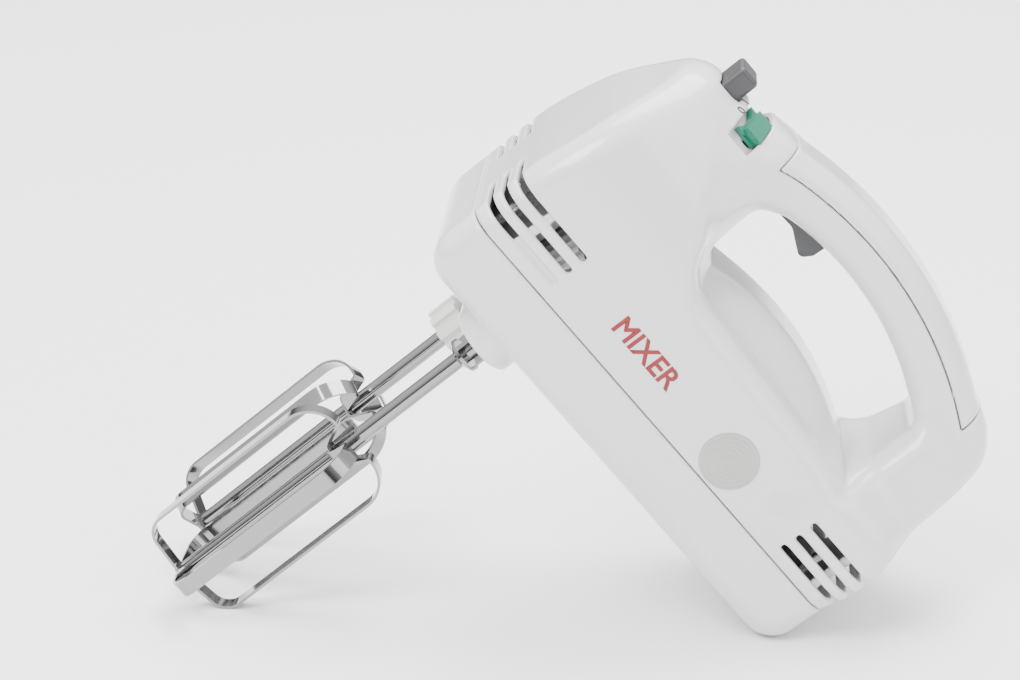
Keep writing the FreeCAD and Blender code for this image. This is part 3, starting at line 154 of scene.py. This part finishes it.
def skin_mesh(field, a, b, c):
    """Closed quad mesh of a field's zero surface on the grid, with the field's own normals."""
    # one point in each cell that the surface crosses, at the mean of its crossings
    solid = field < 0
    cells = [n - 1 for n in field.shape]
    total = np.zeros(cells, dtype=np.int8)
    for i in (0, 1):
        for j in (0, 1):
            for k in (0, 1):
                total += solid[i:i + cells[0], j:j + cells[1], k:k + cells[2]]
    mixed = (total > 0) & (total < 8)
    where = np.argwhere(mixed)
    index = np.full(cells, -1, dtype=np.int32)
    index[mixed] = np.arange(len(where))
    points = np.zeros((len(where), 3))
    count = np.zeros(len(where))
    corner_steps = [(i, j, k) for i in (0, 1) for j in (0, 1) for k in (0, 1)]
    for start in corner_steps:
        for axis in range(3):
            if start[axis]:
                continue
            end = list(start)
            end[axis] = 1
            one = field[tuple((where + start).T)]
            two = field[tuple((where + end).T)]
            hit = (one < 0) != (two < 0)
            share = np.where(hit, one / np.where(hit, one - two, 1), 0)
            spot = np.repeat(np.array([start], float), len(where), axis=0)
            spot[:, axis] += share
            points[hit] += spot[hit]
            count[hit] += 1
    points = where + points / count[:, None]
    # one quad round each grid edge that the surface crosses
    faces = []
    for axis in range(3):
        u, v = [n for n in range(3) if n != axis]
        low = [slice(1, -1)] * 3
        low[axis] = slice(0, -1)
        high = list(low)
        high[axis] = slice(1, None)
        here, there = solid[tuple(low)], solid[tuple(high)]
        for flag, flip in ((here & ~there, False), (~here & there, True)):
            spots = np.argwhere(flag)
            if not len(spots):
                continue
            offset = np.ones(3, dtype=int)
            offset[axis] = 0
            spots = spots + offset
            ring = []
            for du, dv in ((-1, -1), (0, -1), (0, 0), (-1, 0)):
                shift = np.zeros(3, dtype=int)
                shift[u], shift[v] = du, dv
                ring.append(index[tuple((spots + shift).T)])
            quads = np.stack(ring, axis=1)
            odd = axis == 1
            faces.append(quads[:, ::-1] if flip != odd else quads)
    faces = np.concatenate(faces)
    steps = [axis_values[1] - axis_values[0] for axis_values in (a, b, c)]
    gradient = np.stack(np.gradient(field, *steps), axis=-1)

    def sample(values, spots):
        base = np.clip(np.floor(spots).astype(int), 0, np.array(field.shape) - 2)
        part = spots - base
        out = 0
        for i, j, k in corner_steps:
            weight = ((part[:, 0] if i else 1 - part[:, 0]) * (part[:, 1] if j else 1 - part[:, 1])
                      * (part[:, 2] if k else 1 - part[:, 2]))
            out = out + values[base[:, 0] + i, base[:, 1] + j, base[:, 2] + k] * weight[:, None]
        return out

    normals = sample(gradient, points)
    normals /= np.maximum(np.linalg.norm(normals, axis=1), 1e-9)[:, None]
    places = np.array([a[0], b[0], c[0]]) + points * steps
    return places, faces, normals


# ---------------------------------------------------------------- casing dimensions, to follow the CAD
WALL = 2.5
SEAM, SEAM_GAP = 24.6, 0.35
HALF_WIDTH = 40.0
WAIST = 56.0
NOSE, TAIL = -40.0, 148.0
DECK_RADIUS, DECK_AXIS = 22.0, 90.0
HANDLE_HALF = 16.0
CROWN, CROWN_X, SWEEP = 124.3, 62.0, 155.0
GRIP_SWEEP = 112.0
HAUNCH_SLOPE = 20.0 / 50.0
VENT_HEIGHTS = (31.2, 37.6, 44.0)
VENT_HALF = 1.3
VENT_INNER = 14.5
VENT_ENDS = ((-5.8, 1), (118.3, -1))    # x where the round end begins, and the way it faces
GROOVE_START, GROOVE_FLOOR = -21.5, 38.6
RIB_X = (-23.2, 136.8)
RIB_HALF = (1.75, 1.1, 11)
RIB_MIDDLE = 37.6
CHANNEL_X, CHANNEL_HALF = 0.6, 4.95
CHANNEL_ANGLES = (9, 62)            # middle and half span, degrees from upright
WINDOW_X, WINDOW_HALF = 3.5, 1.75
WINDOW_ANGLES = (3, 46)
WINDOW_RADIUS = 15
DEGREE = 0.3                        # mm along the deck, near enough for a field
BUTTON_OPENING = ((-17.05, -7.75), (-7.85, 7.85), (90, 130))
TRIGGER_OPENING = ((29.6, 53.6), (-6.35, 6.35), (90, 106))
INLET_HEIGHT, INLET_RADIUS, INLET_START = 62, 6.5, 138
CAP_DEPTH, CAP_GAP = 7.5, 0.3
CAP_FRONT, CAP_REAR = 17, 131
AXLE = 21
BOSS_RADIUS, BOSS_HALF, BOSS_MIDDLE = 12.5, 5.5, -2.5
SOCKET_OUTER, SOCKET_BORE, SOCKET_HALF = 10.4, 8.6, 4.5
POSTS = ((-31, 27), (133, 28))
POST_RADIUS, POST_TOP = 5, 12
HEAD_RADIUS, HEAD_TOP = 3.55, 5.5
# room round the fan, which the wall would touch; the CAD has no such cut
FAN_ROOM_X, FAN_ROOM_HALF, FAN_ROOM_RADIUS = 110.5, 5.2, 21.7
DRUM_HALF = 7.4

STEP = 0.85
FAR = 1e3

xs = np.arange(-44.0, 153.0, STEP)
ys = np.arange(-44.0, 44.01, STEP)
zs = np.arange(-12.0, 129.0, STEP)
X, Y, Z = xs[:, None, None], ys[None, :, None], zs[None, None, :]
AY = np.abs(Y)
FROM_DECK = np.hypot(Y, Z - DECK_AXIS)
FROM_AXLE = np.hypot(X, AY - AXLE)


def side_field(points):
    """Distance to an outline drawn on the side view."""
    return outline_field(points, xs, zs)[:, None, :]


def arc_line(crown_z, sweep, start, end):
    """Corners along an arc about the handle's crown, none of them rounded."""
    line = np.linspace(start, end, ARC_POINTS)
    return [(x, crown_z - sweep + math.sqrt(sweep ** 2 - (x - CROWN_X) ** 2), 0) for x in line]


body = side_field(rounded([
    (-40, 0, 12), (-40, 52, 80), (-35.4, 80, 80), (-26.5, 110.5, 10), (-5, 112, 14),
    (27, 65, 24), (TAIL, 58, 12), (TAIL, 0, 12),
]))
hub = ((HALF_WIDTH - DECK_RADIUS) ** 2 - (DECK_AXIS - WAIST) ** 2) / (2 * (HALF_WIDTH - DECK_RADIUS))
lean = math.atan2(DECK_AXIS - WAIST, -hub)
side_arc = [(hub + (HALF_WIDTH - hub) * math.cos(t), WAIST + (HALF_WIDTH - hub) * math.sin(t))
            for t in np.linspace(0, lean, 16)]
deck_arc = [(DECK_RADIUS * math.sin(t), DECK_AXIS + DECK_RADIUS * math.cos(t))
            for t in np.linspace(math.pi / 2 - lean, 0, 12)]
half_section = [(HALF_WIDTH, -60)] + side_arc + deck_arc[1:]
section = np.array(half_section + [(-y, z) for y, z in half_section[::-1][1:]])
section_field = outline_field(section, ys, zs)[None, :, :]
form = both_of(body, section_field, 9)

back = arc_line(CROWN, SWEEP, 0, 128)
handle_side = rounded([(0, 92, 0)] + back + [
    (138, 106.5, 0), (TAIL + 0.5, 98.5, 14), (TAIL, 40, 8), (96, 34, 4), (10, 60, 4),
])
handle = both_of(side_field(handle_side), AY - HANDLE_HALF, 9)
haunch_half = 37.0 - np.clip(Z - 44, -20, 60) * HAUNCH_SLOPE
haunch_width = (AY - haunch_half) / math.hypot(1, HAUNCH_SLOPE)
haunch_side = rounded([(104, 34, 4), (TAIL, 34, 10), (TAIL, 92, 12), (122, 92, 6)])
haunch = both_of(side_field(haunch_side), haunch_width, 8)
neck = both_of(FROM_DECK - DECK_RADIUS, np.abs(X + 3) - 19, 5)
form = either_of(form, neck, 10)
form = either_of(form, handle, 13)
form = either_of(form, haunch, 12)

hole_top = arc_line(CROWN - 21, SWEEP - 41, 33, 108)
hole_low = arc_line(74, GRIP_SWEEP, 116, 30)
hole_side = [(24.5, 94, 7)] + hole_top + [(120.5, 88.5, 7), (119, 70, 5)] + hole_low + [(25.5, 72, 8)]
hole = side_field(rounded(hole_side))
outer = both_of(form, -hole, 8)
ends = np.abs(X - (NOSE + TAIL) / 2) - (TAIL - NOSE) / 2
outer = np.maximum(outer, np.maximum(ends, Z - CROWN))
# the blends stretch the field, so it is brought back to about a distance for the wall
steepness = np.sqrt(sum(part ** 2 for part in np.gradient(outer, STEP)))
outer = outer / np.clip(steepness, 0.7, 3.0)

# ---------------------------------------------------------------- openings
slots = np.full(outer.shape, FAR)
for height in VENT_HEIGHTS:
    for end, way in VENT_ENDS:
        past = np.maximum((X - end) * way, 0)
        band = np.hypot(past, Z - height) - VENT_HALF
        band = np.maximum(band, VENT_INNER - AY)
        if height == VENT_HEIGHTS[0] and way > 0:
            # along the side the lowest front slot is a groove that stops inside the wall
            band = np.maximum(band, np.where(X > GROOVE_START, GROOVE_FLOOR - AY, -9))
        slots = np.minimum(slots, band)
ribs = np.full(outer.shape, FAR)
for middle in RIB_X:
    rib = np.maximum(np.abs(X - middle) - RIB_HALF[0], np.abs(AY - RIB_MIDDLE) - RIB_HALF[1])
    ribs = np.minimum(ribs, np.maximum(rib, np.abs(Z - RIB_MIDDLE) - RIB_HALF[2]))


def box_field(x, y, z):
    """Distance to a box, from its low and high side along each axis."""
    parts = [np.abs(values - (low + high) / 2) - (high - low) / 2
             for values, (low, high) in ((X, x), (Y, y), (Z, z))]
    return np.maximum(np.maximum(parts[0], parts[1]), parts[2])


def deck_slot(x, half, inner, angles):
    """A slot round the deck, down to a radius, between two angles."""
    angle = np.degrees(np.arctan2(Y, Z - DECK_AXIS))
    middle, span = angles
    return np.maximum(np.maximum(np.abs(X - x) - half, inner - FROM_DECK),
                      (np.abs(angle - middle) - span) * DEGREE)


inlet = np.maximum(np.hypot(Y, Z - INLET_HEIGHT) - INLET_RADIUS, INLET_START - X)
openings = np.full(outer.shape, FAR)
for opening in (
        deck_slot(CHANNEL_X, CHANNEL_HALF, DECK_RADIUS, CHANNEL_ANGLES),
        deck_slot(WINDOW_X, WINDOW_HALF, WINDOW_RADIUS, WINDOW_ANGLES),
        box_field(*BUTTON_OPENING), box_field(*TRIGGER_OPENING), inlet):
    openings = np.minimum(openings, opening)

# ---------------------------------------------------------------- the three mouldings
shell = np.maximum(outer, -(outer + WALL))
fan_room = np.maximum(np.hypot(Y, Z - DRIVE_HEIGHT) - FAN_ROOM_RADIUS, np.abs(X - FAN_ROOM_X) - FAN_ROOM_HALF)
shell = np.maximum(shell, -fan_room)
# the neck's wall, which goes on under the selector's channel as it does in the CAD
drum = np.maximum(np.abs(FROM_DECK - DECK_RADIUS + WALL / 2) - WALL / 2,
                  np.maximum(np.abs(X - CHANNEL_X) - DRUM_HALF, outer))
upper = np.maximum(np.minimum(shell, drum), -slots)
upper = np.minimum(upper, np.maximum(ribs, outer + 0.6))
upper = np.maximum(upper, -openings)
upper = np.maximum(upper, SEAM - Z)

cap_edge = arc_line(CROWN - CAP_DEPTH, SWEEP - CAP_DEPTH, CAP_FRONT, CAP_REAR)
cap_side = [(x, z) for x, z, _ in cap_edge] + [(CAP_REAR, 160), (CAP_FRONT, 160)]
cap_low = side_field(np.array(cap_side))
cap = np.maximum(shell, cap_low)
upper = np.maximum(upper, -(cap_low - CAP_GAP))

oval = np.hypot(X, np.maximum(AY - AXLE, 0)) - BOSS_RADIUS
boss = both_of(oval, np.abs(Z - BOSS_MIDDLE) - BOSS_HALF, 2.0)
base = either_of(np.maximum(shell, Z - (SEAM - SEAM_GAP)), np.maximum(boss, Z - 2.4), 1.2)
base = np.minimum(base, np.maximum(FROM_AXLE - SOCKET_OUTER, np.abs(Z - SOCKET_HALF) - SOCKET_HALF))
base = np.maximum(base, SOCKET_BORE - FROM_AXLE)
for x, y in POSTS:
    from_post = np.hypot(X - x, AY - y)
    base = np.minimum(base, np.maximum(from_post - POST_RADIUS, np.maximum(outer + 1, Z - POST_TOP)))
    base = np.maximum(base, -np.maximum(from_post - HEAD_RADIUS, Z - HEAD_TOP))

upper_mesh = add_mesh("casing_upper", *skin_mesh(upper, xs, ys, zs))
cap_mesh = add_mesh("casing_cap", *skin_mesh(cap, xs, ys, zs))
base_mesh = add_mesh("casing_base", *skin_mesh(base, xs, ys, zs))


# ---------------------------------------------------------------- printed marks
CAPITAL = 0.7                       # a capital's height, as a share of the font's size
PRINT_DEPTH, PRINT_LIFT = 0.02, 0.08
STROKE = 0.035                      # thickening of the strokes, as a share of the height


def print_text(name, words, height, centre, right, top):
    """Thin printed letters on a flat place in the mixer's axes."""
    curve = bpy.data.curves.new(name, "FONT")
    curve.body = words
    curve.size = height / CAPITAL
    curve.extrude = PRINT_DEPTH
    curve.bevel_depth = STROKE * height
    curve.bevel_resolution = 0
    curve.align_x = "CENTER"
    curve.align_y = "CENTER"
    letters = bpy.data.objects.new(name + "_curve", curve)
    bpy.context.scene.collection.objects.link(letters)
    bpy.context.view_layer.update()
    mesh = bpy.data.meshes.new_from_object(letters.evaluated_get(bpy.context.evaluated_depsgraph_get()))
    bpy.data.objects.remove(letters)
    right, top = Vector(right).normalized(), Vector(top).normalized()
    normal = right.cross(top)
    points = np.array([vertex.co for vertex in mesh.vertices])
    places = np.array(centre) + points @ np.array([right, top, normal])
    mesh.vertices.foreach_set("co", to_row(places).astype(np.float32).ravel())
    mesh.update()
    obj = bpy.data.objects.new(name, mesh)
    bpy.context.scene.collection.objects.link(obj)
    return obj


def on_skin(degrees, x):
    """Place and axes for print on the casing, found along a ray from the deck's axis."""
    grid = (xs, ys, zs)
    turn = math.radians(degrees)
    for reach in np.arange(19.0, 34.0, 0.05):
        spot = (x, reach * math.sin(turn), DECK_AXIS + reach * math.cos(turn))
        at = tuple(int(round((value - line[0]) / STEP)) for value, line in zip(spot, grid))
        if outer[at] > 0:
            break
    slope = Vector([float(outer[tuple(np.add(at, way))] - outer[tuple(np.subtract(at, way))])
                    for way in np.eye(3, dtype=int)])
    normal = slope.normalized()
    node = Vector([line[index] for line, index in zip(grid, at)])
    surface = node - normal * float(outer[at])
    drift = Vector(spot) - surface
    centre = surface + drift - normal * drift.dot(normal) + normal * PRINT_LIFT
    top = Vector((-1, 0, 0))
    top = (top - normal * top.dot(normal)).normalized()
    return tuple(centre), tuple(top.cross(normal)), tuple(top)


mark = print_text("front_mark", "MIXER", 7.3, (33.4, -40.05, 38.8), (1, 0, 0), (0, 0, 1))
zero = print_text("digit_off", "0", 3.2, *on_skin(-27, -5.9))
one = print_text("digit_on", "1", 3.2, *on_skin(-12, -5.9))


# ---------------------------------------------------------------- finishes
COAT_ROUGHNESS = 0.08
GRAIN_DETAIL = 4
MOTTLE_SCALE = 22
BUMP_DEPTH = 0.0002                 # metres
RING_SPACING, RING_STRENGTH = 0.0016, 0.6


def finish(name, colour, rough, grain, metal=0.0, spread=0.06, bump=0.0, tint=0.04, coat=0.0):
    """A surface with slight unevenness of sheen and colour."""
    material = bpy.data.materials.new(name)
    material.use_nodes = True
    nodes, links = material.node_tree.nodes, material.node_tree.links
    shader = nodes["Principled BSDF"]
    shader.inputs["Metallic"].default_value = metal
    shader.inputs["Coat Weight"].default_value = coat
    shader.inputs["Coat Roughness"].default_value = COAT_ROUGHNESS
    place = nodes.new("ShaderNodeTexCoord")
    noise = nodes.new("ShaderNodeTexNoise")
    noise.inputs["Scale"].default_value = grain
    noise.inputs["Detail"].default_value = GRAIN_DETAIL
    links.new(place.outputs["Object"], noise.inputs["Vector"])
    spread_node = nodes.new("ShaderNodeMapRange")
    spread_node.inputs["To Min"].default_value = max(rough - spread, 0.02)
    spread_node.inputs["To Max"].default_value = rough + spread
    links.new(noise.outputs["Fac"], spread_node.inputs["Value"])
    links.new(spread_node.outputs["Result"], shader.inputs["Roughness"])
    broad = nodes.new("ShaderNodeTexNoise")
    broad.inputs["Scale"].default_value = MOTTLE_SCALE
    links.new(place.outputs["Object"], broad.inputs["Vector"])
    mix = nodes.new("ShaderNodeMix")
    mix.data_type = "RGBA"
    mix.inputs["A"].default_value = (*colour, 1)
    mix.inputs["B"].default_value = (*[c * (1 - tint) for c in colour], 1)
    links.new(broad.outputs["Fac"], mix.inputs["Factor"])
    links.new(mix.outputs["Result"], shader.inputs["Base Color"])
    if bump:
        raise_node = nodes.new("ShaderNodeBump")
        raise_node.inputs["Strength"].default_value = bump
        raise_node.inputs["Distance"].default_value = BUMP_DEPTH
        links.new(noise.outputs["Fac"], raise_node.inputs["Height"])
        links.new(raise_node.outputs["Normal"], shader.inputs["Normal"])
    return material


SURFACES = {                        # colour, roughness and the rest, for each slot
    "white_shell": ((0.62, 0.612, 0.618), 0.2,
                    dict(grain=500, spread=0.05, bump=0.02, tint=0.015, coat=0.35)),
    "grey_button": ((0.036, 0.036, 0.039), 0.4, dict(grain=900, bump=0.12)),
    "green_selector": ((0.005, 0.15, 0.09), 0.32, dict(grain=700, bump=0.04, coat=0.2)),
    "dark_grey": ((0.03, 0.032, 0.035), 0.42, dict(grain=900, bump=0.12)),
    "black_rubber": ((0.015, 0.015, 0.015), 0.6, dict(grain=800, bump=0.2)),
    "silver_label": ((0.42, 0.41, 0.4), 0.38, dict(metal=0.2, grain=1500, spread=0.15, bump=0.1, tint=0.25)),
    "chromed_wire": ((0.26, 0.255, 0.258), 0.09, dict(metal=1.0, grain=400, spread=0.05, bump=0.03)),
    "white_nylon": ((0.62, 0.61, 0.59), 0.38, dict(grain=600, bump=0.05)),
    "cast_frame": ((0.35, 0.36, 0.37), 0.45, dict(metal=0.9, grain=900, bump=0.3)),
    "bronze": ((0.42, 0.26, 0.12), 0.4, dict(metal=0.9, grain=900, bump=0.1)),
    "laminations": ((0.12, 0.12, 0.13), 0.45, dict(metal=0.7, grain=900, bump=0.1)),
    "copper": ((0.5, 0.19, 0.08), 0.3, dict(metal=0.9, grain=900, bump=0.1)),
    "carbon": ((0.02, 0.02, 0.02), 0.6, dict(grain=900, bump=0.1)),
    "circuit_board": ((0.03, 0.14, 0.06), 0.4, dict(grain=400)),
    "capacitor_case": ((0.5, 0.33, 0.04), 0.35, dict(grain=400)),
    "grey_moulding": ((0.12, 0.12, 0.13), 0.45, dict(grain=800, bump=0.1)),
    "steel": ((0.42, 0.42, 0.44), 0.28, dict(metal=1.0, grain=800, bump=0.05)),
}
FINISHES = {name: finish(name, colour, rough, **more) for name, (colour, rough, more) in SURFACES.items()}
RED = finish("printed_red", (0.2, 0.001, 0.004), 0.4, grain=900, bump=0.05)
INK = finish("printed_dark", (0.05, 0.05, 0.055), 0.45, grain=900, bump=0.05)


def dress(obj, material):
    """Give an object this material and no other."""
    obj.data.materials.clear()
    obj.data.materials.append(material)


def ring_pattern(material, centre, spacing):
    """Fine concentric rings pressed into a round sticker."""
    nodes, links = material.node_tree.nodes, material.node_tree.links
    place = nodes.new("ShaderNodeTexCoord")
    away = nodes.new("ShaderNodeVectorMath")
    away.operation = "DISTANCE"
    away.inputs[1].default_value = centre
    links.new(place.outputs["Object"], away.inputs[0])
    turns = nodes.new("ShaderNodeMath")
    turns.operation = "MULTIPLY"
    turns.inputs[1].default_value = 2 * math.pi / spacing
    links.new(away.outputs["Value"], turns.inputs[0])
    wave = nodes.new("ShaderNodeMath")
    wave.operation = "SINE"
    links.new(turns.outputs["Value"], wave.inputs[0])
    press = nodes.new("ShaderNodeBump")
    press.inputs["Strength"].default_value = RING_STRENGTH
    press.inputs["Distance"].default_value = BUMP_DEPTH
    links.new(wave.outputs["Value"], press.inputs["Height"])
    links.new(press.outputs["Normal"], nodes["Principled BSDF"].inputs["Normal"])


label_low, label_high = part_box("side_label")
label_centre = [(low + high) / 2 for low, high in zip(label_low, label_high)]
ring_pattern(FINISHES["silver_label"], label_centre, RING_SPACING)

slot_of = {part["node"]: part["material_slot"] for part in frame["record"]["subparts"]}
for name, node in frame["nodes"].items():
    if name in slot_of:
        dress(node, FINISHES[slot_of[name]])

for obj, node in ((upper_mesh, "upper_housing"), (cap_mesh, "handle_cap"), (base_mesh, "base_cover")):
    dress(obj, FINISHES["white_shell"])
    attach(obj, "casing")
    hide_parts(node)


def sprung(node):
    """A copy of a coil, with its own mesh and finish, fixed to the casing in place of the frame's coil."""
    source = frame["nodes"][node]
    piece = source.copy()
    piece.data = source.data.copy()
    piece.name = node + "_coil"
    bpy.context.scene.collection.objects.link(piece)
    dress(piece, FINISHES[slot_of[node]])
    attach(piece, "casing")
    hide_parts(node)
    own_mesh(piece)


sprung("eject_spring")
sprung("trigger_spring")

for obj, material in ((mark, RED), (zero, INK), (one, INK)):
    dress(obj, material)
    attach(obj, "casing")

# ---------------------------------------------------------------- floor, light and camera
bpy.ops.mesh.primitive_plane_add(size=12, location=(0, 0, 0))
floor = bpy.context.object
floor.name = "floor"
dress(floor, finish("floor_white", (0.9, 0.9, 0.9), 0.7, grain=40, tint=0.01))

DARK_HEIGHT, DARK = 0.08, (0.1, 0.1, 0.1, 1)
LIGHT_HEIGHT, LIGHT = 0.5, (1, 1, 1, 1)
WORLD_STRENGTH = 2.1
# dark near the horizon and white above, so that chrome has something dark to reflect
world = bpy.data.worlds.new("studio")
bpy.context.scene.world = world
world.use_nodes = True
sky = world.node_tree
toward = sky.nodes.new("ShaderNodeTexCoord")
height = sky.nodes.new("ShaderNodeSeparateXYZ")
ramp = sky.nodes.new("ShaderNodeValToRGB")
for element, place, colour in zip(ramp.color_ramp.elements, (DARK_HEIGHT, LIGHT_HEIGHT), (DARK, LIGHT)):
    element.position = place
    element.color = colour
sky.links.new(toward.outputs["Generated"], height.inputs["Vector"])
sky.links.new(height.outputs["Z"], ramp.inputs["Fac"])
sky.links.new(ramp.outputs["Color"], sky.nodes["Background"].inputs["Color"])
sky.nodes["Background"].inputs["Strength"].default_value = WORLD_STRENGTH


def lamp(name, place, aim, size, power):
    """A rectangular area light that faces a point."""
    data = bpy.data.lights.new(name, "AREA")
    data.shape = "RECTANGLE"
    data.size, data.size_y = size
    data.energy = power
    obj = bpy.data.objects.new(name, data)
    bpy.context.scene.collection.objects.link(obj)
    obj.location = place
    obj.rotation_euler = (Vector(aim) - Vector(place)).to_track_quat("-Z", "Y").to_euler()


lamp("key", (-0.7, -0.9, 1.5), (0, 0, 0.08), (0.9, 0.9), 44)
lamp("fill", (1.3, -0.8, 0.7), (0, 0, 0.1), (1.0, 1.0), 9)
lamp("top", (0.2, 0.5, 1.6), (0, 0, 0.1), (1.2, 1.2), 50)

AZIMUTH, ELEVATION = 3.83, 20.86    # degrees
CAMERA_PLACE = (0.04094, -0.91807, 0.44787)
FOCAL_LENGTH = 98.8                 # mm
camera_data = bpy.data.cameras.new("camera")
camera_data.lens = FOCAL_LENGTH
camera_data.sensor_width = 36
camera_data.clip_start = 0.01
camera = bpy.data.objects.new("camera", camera_data)
bpy.context.scene.collection.objects.link(camera)
camera.location = CAMERA_PLACE
az, el = math.radians(AZIMUTH), math.radians(ELEVATION)
look = Vector((-math.sin(az) * math.cos(el), math.cos(az) * math.cos(el), -math.sin(el)))
camera.rotation_euler = look.to_track_quat("-Z", "Y").to_euler()
bpy.context.scene.camera = camera
